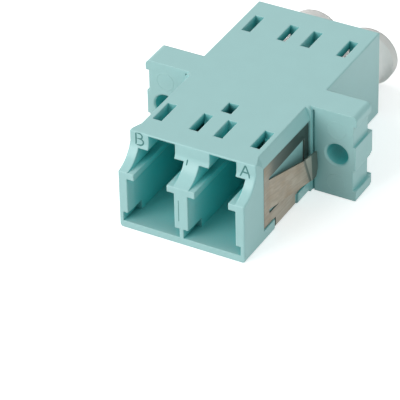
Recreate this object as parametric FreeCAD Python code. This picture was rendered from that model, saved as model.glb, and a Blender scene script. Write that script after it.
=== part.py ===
import FreeCAD, Part

# Duplex fibre adapter for two pairs of small push-pull connectors, with a screw flange, a sprung
# panel clip and a dust plug in each rear port.
#
# The housing is one moulding. A flange with two screw holes stands round its middle. Each port is a
# channel with two side rails that guide the square body of a connector, a wider zone above them for
# the shoulders of its latch, and a slot in the roof for the latch itself. Windows in the roof let the
# latch shoulders snap up. A web closes the channels half way, and on it stands a holder tube for each
# alignment sleeve. The other half of each holder is a separate retainer, pressed in from the rear. One
# bent sheet, the panel clip, wraps both sides and the underside, and its two sprung tongues push the
# edge of a panel against the flange.
#
# Frame: the origin is half way between the two screw holes, on the front face of the flange. +X points
# to port A, +Y to the rear ports, +Z up. The shapes are worked out with Y measured back from the front
# lip and Z up from the underside, and are moved to the origin when they are written out.

import os

from FreeCAD import Vector

# ---- Driving dimensions, in millimetres ----

BODY_WIDTH = 12.9
BODY_HEIGHT = 9.2
BODY_LENGTH = 27.4
EDGE_RADIUS = 0.12
LOWER_EDGE_RADIUS = 0.3

# Front mouth: the roof stands back from the lip, and a hollow curve joins the two.
ROOF_SETBACK = 2.3
CURVE_TOP = 8.05
CURVE_MIDDLE = (1.45, 6.78)
LIP_HEIGHT = 6.12

# Flange
FLANGE_FRONT = 13.25
FLANGE_THICKNESS = 3.0
FLANGE_WIDTH = 22.0
FLANGE_TOP_RADIUS = 0.5
FLANGE_FOOT_RADIUS = 0.15
FOOT_HEIGHT = 1.05
CAP_LOW = 8.13
SIDE_NOTCH_DEPTH = 0.34
BOSS_LOW = 3.33
BOSS_HIGH = 5.87
BOSS_INSET = 0.1
REAR_PAD_DEPTH = 0.5
HOLE_PITCH = 18.0
HOLE_RADIUS = 1.1
HOLE_CHAMFER = 0.15
ROOT_GROOVE_GAP = 0.04
ROOT_GROOVE_WIDTH = 0.15
ROOT_GROOVE_DEPTH = 0.15
ROOT_GROOVE_TOP = 8.85

# Ports, seen along Y: half widths from the port's axis, and heights above the underside.
PORT_PITCH = 6.25
AXIS_HEIGHT = 3.1
CHANNEL_HALF = 2.35
RAIL_GAP_HALF = 1.715
SLOT_HALF = 1.37
FLOOR_TOP = 0.75
RAIL_LOW = 5.45
RAIL_HIGH = 6.1
SHOULDER_TOP = 7.6
SLOT_TOP = 8.3
ROOF_LEAD_HEIGHT = 0.75
ROOF_LEAD_LENGTH = 0.9
MOUTH_FLARE = 0.1
MOUTH_FLARE_LENGTH = 1.2
RELIEF_HALF = 2.93
RELIEF_HEIGHT = 0.97
RELIEF_LENGTH = 2.4
WEB_THICKNESS = 0.9

# Roof windows
WINDOW_INNER = 1.42
WINDOW_SETBACK = 2.55
WINDOW_LENGTH = 2.9
PIT_WIDTH = 1.06
PIT_FRONT = 8.72
PIT_LENGTH = 1.6
PIT_FLOOR = 7.35

# Sides, where the panel clip sits
BAND_REAR = 3.75
BAND_TAPER_LENGTH = 1.25
SHOULDER_HALF = 5.97
SHOULDER_FOOT = 8.1
RECESS_REAR = 12.83
RIB_RADIUS = 0.45
RIB_PROUD = 0.08
LIP_TOP = 1.2
FRONT_LIP_REAR = 5.85
REAR_LIP_FRONT = 10.5

# Panel clip
SHEET = 0.15
CLIP_HALF = 6.35
CLIP_FRONT = 4.0
CLIP_REAR = 12.75
CLIP_TOP_FRONT = 7.95
CLIP_TOP_REAR = 7.8
CLIP_GAP = 0.05
CLIP_UNDERSIDE = 0.03
LEG_GAP = 0.4
BEND_RADIUS = 0.35
WINDOW_FRONT_EDGE = 5.0
WINDOW_REAR_EDGE = 11.9
WINDOW_LOW_EDGE = 2.35
WINDOW_TOP_FRONT = 6.25
WINDOW_TOP_REAR = 6.4
TONGUE_LOW = 2.8
TONGUE_HIGH = 6.02
TONGUE_SLOPE = 0.19
CREASE_LOW = (10.95, 2.6)
CREASE_HIGH = (10.05, 5.32)
TIP_LOW = (11.3, 2.5)
TIP_HIGH = (11.3, 5.2)
TIP_SLOPE = 0.07
TONGUE_END = ((12.3, 2.3), (12.75, 2.9), (12.75, 4.8))
TONGUE_END_SLOPE = -0.1

# Sleeve holders and sleeves
HOLDER_RADIUS = 1.425
HOLDER_REACH = 4.3
ENTRY_RADIUS = 0.74
ENTRY_MOUTH_RADIUS = 1.05
SLEEVE_LENGTH = 6.8
SLEEVE_RADIUS = 0.81
SLEEVE_BORE_RADIUS = 0.625
SLEEVE_SLIT = 0.35
SLEEVE_CLEARANCE = 0.03
RETAINER_PLATE = 0.6
RETAINER_CLEARANCE = 0.02

# Dust plugs
PLUG_LENGTH = 16.05
PLUG_PROUD = {"a": 5.1, "b": 5.7}
PLUG_RADIUS = 2.25
PLUG_HEAD_RADIUS = 2.88
PLUG_RIM = 1.05
PLUG_FLARE = 1.0
PLUG_MOUTH_RADIUS = 2.5
PLUG_MOUTH_DEPTH = 3.0
PLUG_BORE_RADIUS = 1.65
PLUG_BORE_DEPTH = 8.9
PLUG_TIP_BORE_RADIUS = 1.6
PLUG_TIP_BORE_DEPTH = 6.2
PLUG_EDGE = 0.12

# ---- Worked out from the above ----

MIDDLE = (ROOF_SETBACK + BODY_LENGTH) / 2
WEB_FRONT = MIDDLE - WEB_THICKNESS / 2
WEB_REAR = MIDDLE + WEB_THICKNESS / 2
BODY_HALF = BODY_WIDTH / 2
FLANGE_HALF = FLANGE_WIDTH / 2
FLANGE_REAR = FLANGE_FRONT + FLANGE_THICKNESS
PORT_X = PORT_PITCH / 2
HOLE_HEIGHT = BODY_HEIGHT / 2
SLEEVE_SEAT_RADIUS = SLEEVE_RADIUS + SLEEVE_CLEARANCE
SLEEVE_SEAT_HALF = SLEEVE_LENGTH / 2 + 0.05
BEYOND = 2.0
ORIGIN = Vector(0, FLANGE_FRONT, HOLE_HEIGHT)


# ---- Small helpers ----

def block(x_range, y_range, z_range):
    """A box between two X, two Y and two Z values."""
    low = Vector(x_range[0], y_range[0], z_range[0])
    return Part.makeBox(x_range[1] - x_range[0], y_range[1] - y_range[0], z_range[1] - z_range[0], low)


def prism(points, direction):
    """The polygon through the points, carried along a direction."""
    outline = Part.makePolygon(points + points[:1])
    return Part.Face(outline).extrude(direction)


def both_sides(shape):
    """The shape and its mirror image in the middle plane X = 0."""
    return [shape, shape.mirror(Vector(0, 0, 0), Vector(1, 0, 0))]


def both_ends(shape):
    """The shape and its mirror image in the middle plane of the ports."""
    return [shape, shape.mirror(Vector(0, MIDDLE, 0), Vector(0, 1, 0))]


def rod(radius, x, y_range):
    """A cylinder along Y, centred on a port's axis."""
    return Part.makeCylinder(radius, y_range[1] - y_range[0], Vector(x, y_range[0], AXIS_HEIGHT), Vector(0, 1, 0))


def cone(radii, x, y_range):
    """A cone along Y, centred on a port's axis."""
    start = Vector(x, y_range[0], AXIS_HEIGHT)
    return Part.makeCone(radii[0], radii[1], y_range[1] - y_range[0], start, Vector(0, 1, 0))


def edges_along(shape, axis, test):
    """The straight edges of a shape that run along an axis and whose middle passes a test."""
    found = []
    for edge in shape.Edges:
        if not isinstance(edge.Curve, Part.Line):
            continue
        run = edge.Vertexes[-1].Point - edge.Vertexes[0].Point
        if abs(run.normalize().dot(axis)) > 0.999 and test(edge.CenterOfMass):
            found.append(edge)
    return found


# ---- Housing ----

def outer_body():
    """The outside of the body: a block with the hollow curve at its front, its edges rounded."""
    body = block((-BODY_HALF, BODY_HALF), (0, BODY_LENGTH), (0, BODY_HEIGHT))
    x = -BODY_HALF - BEYOND
    curve_top = Vector(x, ROOF_SETBACK, CURVE_TOP)
    curve_foot = Vector(x, 0, LIP_HEIGHT)
    hollow = Part.Arc(curve_top, Vector(x, *CURVE_MIDDLE), curve_foot).toShape()
    rest = Part.makePolygon([
        curve_foot,
        Vector(x, -BEYOND, LIP_HEIGHT),
        Vector(x, -BEYOND, BODY_HEIGHT + BEYOND),
        Vector(x, ROOF_SETBACK, BODY_HEIGHT + BEYOND),
        curve_top,
    ])
    cutter = Part.Face(Part.Wire([hollow] + rest.Edges)).extrude(Vector(BODY_WIDTH + 2 * BEYOND, 0, 0))
    body = body.cut(cutter)
    body = body.makeFillet(LOWER_EDGE_RADIUS, edges_along(body, Vector(0, 1, 0), lambda p: p.z < EDGE_RADIUS))
    above = [edge for edge in body.Edges if edge.BoundBox.ZMax > LOWER_EDGE_RADIUS + 0.01]
    across = [edge for edge in body.Edges if edge.BoundBox.XLength > BODY_HALF and edge not in above]
    return body.makeFillet(EDGE_RADIUS, above + across)


def flange():
    """The flange plate, with two notches in each side, and the pads and feet on its rear face."""
    boss = FLANGE_HALF - BOSS_INSET
    notch = FLANGE_HALF - SIDE_NOTCH_DEPTH
    right = [
        (FLANGE_HALF, 0), (FLANGE_HALF, FOOT_HEIGHT), (notch, FOOT_HEIGHT), (notch, BOSS_LOW),
        (boss, BOSS_LOW), (boss, BOSS_HIGH), (notch, BOSS_HIGH), (notch, CAP_LOW),
        (FLANGE_HALF, CAP_LOW), (FLANGE_HALF, BODY_HEIGHT),
    ]
    outline = right + [(-x, z) for x, z in reversed(right)]
    points = [Vector(x, FLANGE_FRONT, z) for x, z in outline]
    plate = prism(points, Vector(0, FLANGE_THICKNESS, 0))
    for height, radius in ((BODY_HEIGHT, FLANGE_TOP_RADIUS), (0, FLANGE_FOOT_RADIUS)):
        corners = edges_along(plate, Vector(0, 1, 0), lambda p, height=height: p.z == height)
        plate = plate.makeFillet(radius, corners)
    rear = FLANGE_REAR + REAR_PAD_DEPTH
    inner = BODY_HALF - 1
    foot = block((inner, FLANGE_HALF - FLANGE_FOOT_RADIUS), (FLANGE_REAR, rear), (0, FOOT_HEIGHT))
    pad = prism([
        Vector(inner, FLANGE_REAR, BOSS_LOW), Vector(inner, rear, BOSS_LOW + REAR_PAD_DEPTH / 2),
        Vector(inner, rear, BOSS_HIGH), Vector(inner, FLANGE_REAR, BOSS_HIGH),
    ], Vector(boss - inner, 0, 0))
    return plate.fuse(both_sides(foot) + both_sides(pad))


def flange_cuts():
    """Two chamfered screw holes, and the groove at each root of the flange's front face."""
    axis = Vector(0, 1, 0)
    x = HOLE_PITCH / 2
    hole = Part.makeCylinder(HOLE_RADIUS, FLANGE_THICKNESS + 2 * BEYOND,
                             Vector(x, FLANGE_FRONT - BEYOND, HOLE_HEIGHT), axis)
    mouth = Part.makeCone(HOLE_RADIUS + HOLE_CHAMFER, HOLE_RADIUS, HOLE_CHAMFER,
                          Vector(x, FLANGE_FRONT, HOLE_HEIGHT), axis)
    root = BODY_HALF + RIB_PROUD + ROOT_GROOVE_GAP
    groove = block((root, root + ROOT_GROOVE_WIDTH),
                   (FLANGE_FRONT - BEYOND, FLANGE_FRONT + ROOT_GROOVE_DEPTH), (-BEYOND, ROOT_GROOVE_TOP))
    return both_sides(hole) + both_sides(mouth) + both_sides(groove)


def port_outline(y):
    """The section of a port, as points at one Y, round the axis of the port."""
    right = [
        (CHANNEL_HALF, FLOOR_TOP), (CHANNEL_HALF, RAIL_LOW), (RAIL_GAP_HALF, RAIL_LOW),
        (RAIL_GAP_HALF, RAIL_HIGH), (CHANNEL_HALF, RAIL_HIGH), (CHANNEL_HALF, SHOULDER_TOP),
        (SLOT_HALF, SHOULDER_TOP), (SLOT_HALF, SLOT_TOP),
    ]
    outline = right + [(-x, z) for x, z in reversed(right)]
    return [Vector(PORT_X + x, y, z) for x, z in outline]


def port_void(mouth, roof_edge):
    """What a port takes out of the housing, from its mouth to the web."""
    start = mouth - BEYOND
    voids = [prism(port_outline(start), Vector(0, WEB_FRONT - start, 0))]
    slot = (PORT_X - SLOT_HALF, PORT_X + SLOT_HALF)
    lead = [
        Vector(slot[0], roof_edge - BEYOND, SLOT_TOP - 0.1),
        Vector(slot[0], roof_edge + ROOF_LEAD_LENGTH, SLOT_TOP - 0.1),
        Vector(slot[0], roof_edge + ROOF_LEAD_LENGTH, SLOT_TOP),
        Vector(slot[0], roof_edge, SLOT_TOP + ROOF_LEAD_HEIGHT),
        Vector(slot[0], roof_edge - BEYOND, SLOT_TOP + ROOF_LEAD_HEIGHT),
    ]
    voids.append(prism(lead, Vector(slot[1] - slot[0], 0, 0)))
    for side in (-1, 1):
        wall = PORT_X + side * (CHANNEL_HALF - 0.1)
        flare = PORT_X + side * (CHANNEL_HALF + MOUTH_FLARE)
        end = PORT_X + side * CHANNEL_HALF
        wedge = [
            Vector(wall, mouth - 0.01, FLOOR_TOP), Vector(flare, mouth - 0.01, FLOOR_TOP),
            Vector(end, mouth + MOUTH_FLARE_LENGTH, FLOOR_TOP), Vector(wall, mouth + MOUTH_FLARE_LENGTH, FLOOR_TOP),
        ]
        voids.append(prism(wedge, Vector(0, 0, RAIL_LOW - FLOOR_TOP)))
    relief = (PORT_X - RELIEF_HALF, PORT_X + RELIEF_HALF)
    voids.append(block(relief, (start, mouth + RELIEF_LENGTH), (FLOOR_TOP, FLOOR_TOP + RELIEF_HEIGHT)))
    return voids


def roof_windows():
    """The two latch windows over one port, which open into its slot under the roof."""
    y_range = (ROOF_SETBACK + WINDOW_SETBACK, ROOF_SETBACK + WINDOW_SETBACK + WINDOW_LENGTH)
    low = SHOULDER_TOP - 0.1
    voids = [block((PORT_X - CHANNEL_HALF, PORT_X + CHANNEL_HALF), y_range, (low, SLOT_TOP))]
    for inner, outer in ((WINDOW_INNER, CHANNEL_HALF), (-CHANNEL_HALF, -WINDOW_INNER)):
        voids.append(block((PORT_X + inner, PORT_X + outer), y_range, (low, BODY_HEIGHT + BEYOND)))
    return voids


def clip_seat():
    """What the sides and the underside give up to the panel clip, on the +X half."""
    outside = BODY_HALF + BEYOND
    floor = CLIP_HALF - SHEET
    pocket = prism([
        Vector(floor, BAND_REAR, LIP_TOP), Vector(floor, RECESS_REAR, LIP_TOP),
        Vector(floor, RECESS_REAR, CLIP_TOP_REAR + CLIP_GAP), Vector(floor, BAND_REAR, CLIP_TOP_FRONT + CLIP_GAP),
    ], Vector(outside - floor, 0, 0))
    gap = block((-1, outside), (FRONT_LIP_REAR, REAR_LIP_FRONT), (-BEYOND, LIP_TOP))
    core = block((-2, floor), (FRONT_LIP_REAR - 1, REAR_LIP_FRONT + 1), (CLIP_UNDERSIDE + SHEET, LIP_TOP + 1))
    corner = edges_along(core, Vector(0, 1, 0), lambda p: p.x > 0 and p.z < LIP_TOP)
    core = core.makeFillet(BEND_RADIUS - SHEET, corner)
    return [pocket, gap.cut(core), shoulder(), band_taper(), rib_corner()]


def shoulder():
    """The slope along the top edge of the side, over the clip."""
    y = BAND_REAR - 0.01
    rise = BODY_HEIGHT - SHOULDER_FOOT
    run = BODY_HALF - SHOULDER_HALF
    return prism([
        Vector(BODY_HALF, y, SHOULDER_FOOT), Vector(SHOULDER_HALF, y, BODY_HEIGHT),
        Vector(SHOULDER_HALF - run, y, BODY_HEIGHT + rise), Vector(BODY_HALF + run, y, BODY_HEIGHT + rise),
        Vector(BODY_HALF + run, y, SHOULDER_FOOT),
    ], Vector(0, RECESS_REAR - y, 0))


def band_taper():
    """The slanting cut that leads the top edge of the front band in to the slope behind it."""
    a = Vector(BODY_HALF, BAND_REAR - BAND_TAPER_LENGTH, BODY_HEIGHT)
    b = Vector(SHOULDER_HALF, BAND_REAR, BODY_HEIGHT)
    c = Vector(BODY_HALF, BAND_REAR, SHOULDER_FOOT)
    outward = (b - a).cross(c - a).normalize()
    if outward.x < 0:
        outward = -outward
    along = (b - a).normalize()
    across = outward.cross(along)
    middle = (a + b + c) / 3
    sheet = [middle + along * i * 4 + across * j * 4 for i, j in ((-1, -1), (1, -1), (1, 1), (-1, 1))]
    reach = block((SHOULDER_HALF - 0.5, BODY_HALF + 1), (ROOF_SETBACK, BAND_REAR),
                  (SHOULDER_FOOT - 0.2, BODY_HEIGHT + 1))
    return prism(sheet, outward * 4).common(reach)


def rib():
    """The rib that closes the clip's recess at the flange."""
    return block((BODY_HALF - 1, BODY_HALF + RIB_PROUD), (RECESS_REAR, FLANGE_FRONT + 0.1), (0, BODY_HEIGHT))


def rib_corner():
    """The rounding on top of the rib."""
    x = BODY_HALF + RIB_PROUD - RIB_RADIUS
    z = BODY_HEIGHT - RIB_RADIUS
    corner = block((x, BODY_HALF + 1), (RECESS_REAR - 1, FLANGE_FRONT), (z, BODY_HEIGHT + 1))
    keep = Part.makeCylinder(RIB_RADIUS, 3, Vector(x, RECESS_REAR - 2, z), Vector(0, 1, 0))
    return corner.cut(keep)


def holder_tube(x):
    """The front half of a sleeve holder, which stands on the web."""
    return rod(HOLDER_RADIUS, x, (MIDDLE - HOLDER_REACH, WEB_FRONT + 0.1))


def holder_bore(x):
    """The seat of the sleeve, and the funnel that guides a ferrule in and keeps the sleeve from leaving."""
    seat_end = MIDDLE - SLEEVE_SEAT_HALF
    seat = rod(SLEEVE_SEAT_RADIUS, x, (seat_end, WEB_REAR + BEYOND))
    funnel = cone((ENTRY_MOUTH_RADIUS, ENTRY_RADIUS), x, (MIDDLE - HOLDER_REACH, seat_end))
    return [seat, funnel]


def housing():
    """The one moulding that carries everything else."""
    solid = outer_body().fuse([flange()] + both_sides(rib())).removeSplitter()
    front = port_void(0, ROOF_SETBACK)
    rear_mouth = 2 * MIDDLE - BODY_LENGTH
    rear = [void.mirror(Vector(0, MIDDLE, 0), Vector(0, 1, 0)) for void in port_void(rear_mouth, rear_mouth)]
    cuts = list(flange_cuts())
    for void in front + rear + clip_seat():
        cuts += both_sides(void)
    for window in roof_windows():
        for end in both_ends(window):
            cuts += both_sides(end)
    cuts.append(block((-PIT_WIDTH / 2, PIT_WIDTH / 2), (PIT_FRONT, PIT_FRONT + PIT_LENGTH),
                      (PIT_FLOOR, BODY_HEIGHT + BEYOND)))
    solid = solid.cut(cuts)
    solid = solid.fuse([holder_tube(PORT_X), holder_tube(-PORT_X)])
    solid = solid.cut(holder_bore(PORT_X) + holder_bore(-PORT_X))
    return solid.removeSplitter()


# ---- Panel clip ----

def sloped(start, slope, y, z):
    """The point at one Y and Z on a slope that goes back from a point."""
    return Vector(start.x + slope * (y - start.y), y, z)


def in_plane(a, b, c, y, z):
    """The point at one Y and Z in the plane through three points."""
    normal = (b - a).cross(c - a)
    return Vector(a.x - (normal.y * (y - a.y) + normal.z * (z - a.z)) / normal.x, y, z)


def tongue():
    """One sprung tongue: a flat blade that leans out, a tip turned back along a crease, and its end."""
    root = Vector(CLIP_HALF, WINDOW_FRONT_EDGE, TONGUE_LOW)
    crease_low = sloped(root, TONGUE_SLOPE, *CREASE_LOW)
    crease_high = sloped(root, TONGUE_SLOPE, *CREASE_HIGH)
    tip_low = sloped(crease_low, TIP_SLOPE, *TIP_LOW)
    tip_high = in_plane(crease_low, crease_high, tip_low, *TIP_HIGH)
    end_low = sloped(tip_low, TONGUE_END_SLOPE, *TONGUE_END[0])
    end = [end_low] + [in_plane(tip_low, tip_high, end_low, y, z) for y, z in TONGUE_END[1:]]
    leaves = [
        [root, crease_low, crease_high, Vector(CLIP_HALF, WINDOW_FRONT_EDGE, TONGUE_HIGH)],
        [crease_low, tip_low, tip_high, crease_high],
        [tip_low] + end + [tip_high],
    ]
    blade, tip, last = [prism(leaf, Vector(-SHEET, 0, 0)) for leaf in leaves]
    return blade.fuse([tip, last])


def clip_side():
    """One side of the clip: a plate with a window, and the tongue that was cut from the window."""
    x = CLIP_HALF - SHEET
    low = LIP_TOP + CLIP_GAP
    leg_front = FRONT_LIP_REAR + LEG_GAP
    leg_rear = REAR_LIP_FRONT - LEG_GAP
    outline = [
        (CLIP_FRONT, low), (leg_front, low), (leg_front, CLIP_UNDERSIDE + BEND_RADIUS),
        (leg_rear, CLIP_UNDERSIDE + BEND_RADIUS), (leg_rear, low), (CLIP_REAR, low),
        (CLIP_REAR, CLIP_TOP_REAR), (CLIP_FRONT, CLIP_TOP_FRONT),
    ]
    plate = prism([Vector(x, y, z) for y, z in outline], Vector(SHEET, 0, 0))
    window = prism([
        Vector(x - 1, WINDOW_FRONT_EDGE, WINDOW_LOW_EDGE), Vector(x - 1, WINDOW_REAR_EDGE, WINDOW_LOW_EDGE),
        Vector(x - 1, WINDOW_REAR_EDGE, WINDOW_TOP_REAR), Vector(x - 1, WINDOW_FRONT_EDGE, WINDOW_TOP_FRONT),
    ], Vector(2, 0, 0))
    return plate.cut(window).fuse(tongue())


def clip_bridge():
    """The part of the clip under the body, with the bend at each end of it."""
    y = FRONT_LIP_REAR + LEG_GAP
    length = REAR_LIP_FRONT - FRONT_LIP_REAR - 2 * LEG_GAP
    height = BEND_RADIUS + 1
    solids = []
    for inset, radius in ((0, BEND_RADIUS), (SHEET, BEND_RADIUS - SHEET)):
        half = CLIP_HALF - inset
        low = CLIP_UNDERSIDE + inset
        tray = block((-half, half), (y, y + length), (low, low + height))
        corners = edges_along(tray, Vector(0, 1, 0), lambda p, low=low: p.z < low + 0.01)
        solids.append(tray.makeFillet(radius, corners))
    above = block((-CLIP_HALF - 1, CLIP_HALF + 1), (y - 1, y + length + 1),
                  (CLIP_UNDERSIDE + BEND_RADIUS, CLIP_UNDERSIDE + 2 * height))
    return solids[0].cut([solids[1], above])


def panel_clip():
    """The sprung sheet that holds the adapter in a panel."""
    return clip_bridge().fuse(both_sides(clip_side())).removeSplitter()


# ---- Pieces inside ----

def sleeve_retainer(x):
    """The rear half of a sleeve holder: a plate that seats on the web, and a tube."""
    side = CHANNEL_HALF - RETAINER_CLEARANCE
    plate = block((x - side, x + side), (WEB_REAR, WEB_REAR + RETAINER_PLATE),
                  (FLOOR_TOP, RAIL_LOW - 2 * RETAINER_CLEARANCE))
    tip = MIDDLE + HOLDER_REACH
    seat_end = MIDDLE + SLEEVE_SEAT_HALF
    tube = rod(HOLDER_RADIUS, x, (WEB_REAR, tip))
    seat = rod(SLEEVE_SEAT_RADIUS, x, (WEB_REAR - BEYOND, seat_end))
    funnel = cone((ENTRY_RADIUS, ENTRY_MOUTH_RADIUS), x, (seat_end, tip))
    return plate.fuse(tube).cut([seat, funnel]).removeSplitter()


def split_sleeve(x):
    """The slit alignment sleeve, which lies on the bottom of its seat by its own weight."""
    y_range = (MIDDLE - SLEEVE_LENGTH / 2, MIDDLE + SLEEVE_LENGTH / 2)
    tube = rod(SLEEVE_RADIUS, x, y_range).cut(rod(SLEEVE_BORE_RADIUS, x, y_range))
    slit = block((x - SLEEVE_SLIT / 2, x + SLEEVE_SLIT / 2), y_range, (AXIS_HEIGHT, AXIS_HEIGHT + 2 * SLEEVE_RADIUS))
    sleeve = tube.cut(slit)
    sleeve.translate(Vector(0, 0, -SLEEVE_CLEARANCE))
    return sleeve


# ---- Dust plugs ----

def dust_plug(x, proud):
    """A turned shape: a hollow tip over the holder, a partition, and a flared head with a deep mouth.

    The head ends as far behind the body as the plug stands proud of it.
    """
    head = BODY_LENGTH + proud
    tip = head - PLUG_LENGTH
    rim = head - PLUG_RIM
    flare = rim - PLUG_FLARE
    partition = tip + PLUG_TIP_BORE_DEPTH

    def at(radius, y):
        return Vector(x + radius, y, AXIS_HEIGHT)

    bend = at(PLUG_RADIUS + 0.24 * (PLUG_HEAD_RADIUS - PLUG_RADIUS), flare + 0.72 * PLUG_FLARE)
    hollow = Part.Arc(at(PLUG_RADIUS, flare), bend, at(PLUG_HEAD_RADIUS, rim)).toShape()
    outside = Part.makePolygon([
        at(PLUG_TIP_BORE_RADIUS, tip), at(PLUG_RADIUS - PLUG_EDGE, tip), at(PLUG_RADIUS, tip + PLUG_EDGE),
        at(PLUG_RADIUS, flare),
    ]).Edges
    inside = Part.makePolygon([
        at(PLUG_HEAD_RADIUS, rim), at(PLUG_HEAD_RADIUS, head - PLUG_EDGE), at(PLUG_HEAD_RADIUS - PLUG_EDGE, head),
        at(PLUG_MOUTH_RADIUS, head), at(PLUG_BORE_RADIUS, head - PLUG_MOUTH_DEPTH),
        at(PLUG_BORE_RADIUS, head - PLUG_BORE_DEPTH), at(0, head - PLUG_BORE_DEPTH), at(0, partition),
        at(PLUG_TIP_BORE_RADIUS, partition), at(PLUG_TIP_BORE_RADIUS, tip),
    ]).Edges
    profile = Part.Face(Part.Wire(outside + [hollow] + inside))
    return profile.revolve(Vector(x, 0, AXIS_HEIGHT), Vector(0, 1, 0), 360)


# ---- Output ----

def main():
    nodes = {"housing": housing(), "panel_clip": panel_clip()}
    for letter, x in (("a", PORT_X), ("b", -PORT_X)):
        nodes["sleeve_retainer_" + letter] = sleeve_retainer(x)
        nodes["split_sleeve_" + letter] = split_sleeve(x)
        nodes["dust_plug_" + letter] = dust_plug(x, PLUG_PROUD[letter])
    os.makedirs("parts", exist_ok=True)
    for name, shape in nodes.items():
        shape.translate(-ORIGIN)
        shape.exportStep("parts/" + name + ".step")
        print(name, "valid" if shape.isValid() else "NOT VALID", len(shape.Solids), "solid", round(shape.Volume, 2))


main()
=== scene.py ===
"""Looks for a duplex fibre adapter: moulded plastic, rolled steel strip, ceramic and milky polythene.

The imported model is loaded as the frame. Its housing, clip, retainers and sleeves keep their shape and
get their finish here. The dust plugs are turned again as smooth surfaces, and the port marks and the
marks that the mould's ejector pins leave are added. Sizes are in metres in the frame of the model.
"""

import math

import bmesh
import bpy
import numpy as np
from mathutils import Matrix, Vector


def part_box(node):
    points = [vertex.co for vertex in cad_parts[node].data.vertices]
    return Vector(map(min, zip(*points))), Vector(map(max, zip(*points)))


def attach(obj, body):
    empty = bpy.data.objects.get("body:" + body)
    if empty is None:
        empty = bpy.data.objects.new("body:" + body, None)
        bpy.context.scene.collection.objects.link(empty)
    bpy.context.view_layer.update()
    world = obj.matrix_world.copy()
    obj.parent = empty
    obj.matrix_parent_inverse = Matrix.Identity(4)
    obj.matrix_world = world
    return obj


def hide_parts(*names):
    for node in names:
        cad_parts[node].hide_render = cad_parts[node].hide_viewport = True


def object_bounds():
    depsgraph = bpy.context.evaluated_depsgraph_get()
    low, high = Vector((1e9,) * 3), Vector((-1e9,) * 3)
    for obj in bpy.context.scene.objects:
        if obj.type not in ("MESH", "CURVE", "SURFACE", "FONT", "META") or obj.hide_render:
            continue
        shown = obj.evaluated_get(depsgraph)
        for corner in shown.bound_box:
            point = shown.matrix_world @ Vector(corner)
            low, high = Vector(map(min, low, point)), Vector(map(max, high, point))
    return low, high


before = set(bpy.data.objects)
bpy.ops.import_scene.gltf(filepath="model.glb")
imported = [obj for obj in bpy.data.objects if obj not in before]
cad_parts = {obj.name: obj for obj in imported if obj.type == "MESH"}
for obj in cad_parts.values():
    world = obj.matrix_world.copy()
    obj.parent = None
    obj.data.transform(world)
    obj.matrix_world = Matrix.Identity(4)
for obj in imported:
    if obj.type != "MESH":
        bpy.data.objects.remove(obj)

bl_info = {
    "name": "Duplex Fibre Adapter",
    "version": (1, 0, 0),
    "blender": (4, 5, 0),
    "location": "View3D > Sidebar > Adapter",
    "description": "Dresses a duplex fibre adapter and sets up its stage",
    "category": "Object",
}

MM = 0.001
CAD_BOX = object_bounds()
HOUSING_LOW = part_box("housing")[0]
WHITE = (1.0, 1.0, 1.0)
BLACK = (0.0, 0.0, 0.0)

# Top, middle and foot of the hollow curve under the roof, back from the lip and up from the underside.
HOLLOW = ((2.3 * MM, 8.05 * MM), (1.45 * MM, 6.78 * MM), (0.0, 6.12 * MM))

# A point on the crease of the clip's tongues, and the direction straight across it, in Y and Z.
CREASE_Y, CREASE_Z = -2.30 * MM, -2.00 * MM
ACROSS_CREASE = (0.949, 0.314)

# Each pair from here to LINE_STEP is where one look starts to give way to the next, and where it has.
# On the clip: the painted shade beside a crease and the painted highlight on the tip beyond it, by
# their distance from the crease, then the distance out that only tongues reach, a tongue's last leaf
# with its painted shade, and the painted shade on the bars.
CREASE_SHADE_STEP = (0.06 * MM, 0.24 * MM)
TIP_HIGHLIGHT_STEP = (0.1 * MM, 0.25 * MM)
TONGUE_X = (6.9 * MM, 7.1 * MM)
LAST_LEAF_Y = (-2.0 * MM, -1.9 * MM)
UPPER_BAR_Y = (-9.0 * MM, -6.8 * MM)
UPPER_BAR_Z = (1.4 * MM, 1.7 * MM)
REAR_BAR_Y = (-1.5 * MM, -1.3 * MM)

# Openness, from 0 where a point is shut in to 1 where it is free.
# Painted shade: CREVICE_SHADE_STEP and RECESS_SHADE_STEP set where the plastic's colour darkens in
# pits, corners and openings.
CREVICE_SHADE_STEP = (0.1, 0.6)
RECESS_SHADE_STEP = (0.12, 0.68)
DULL_STEP = (0.1, 0.8)
# Where the plastic's painted edge highlight is kept: on outer edges, away from tight corners.
OUTER_HIGHLIGHT_STEP = (0.5, 0.75)
# Painted shade: where the strip darkens because a wall stands near it.
STRIP_BORDER_SHADE_STEP = (0.45, 0.95)

# How far the rounded normal turns away from the face, at the edges of the plastic and of the strip.
# These steps set where the painted edge highlight starts and where it is full.
PLASTIC_HIGHLIGHT_STEP = (0.02, 0.25)
STRIP_HIGHLIGHT_STEP = (0.02, 0.2)

# Height in a noise, from 0 to 1, for the patches and the rolling lines of the strip.
PATCH_STEP = (0.35, 0.7)
LINE_STEP = (0.35, 0.65)

# Steps along a plug's flare and round a low ridge's section, how near points have to lie to be merged
# on a plug and on a mark, and the distance under which a profile's points are one.
FLARE_STEPS = 16
RIDGE_STEPS = 7
PLUG_WELD = 0.0005 * MM
MARK_WELD = 0.0002 * MM
SAME_POINT = 1e-9


# ---- Sizes and colours that a user would change ----

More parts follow.
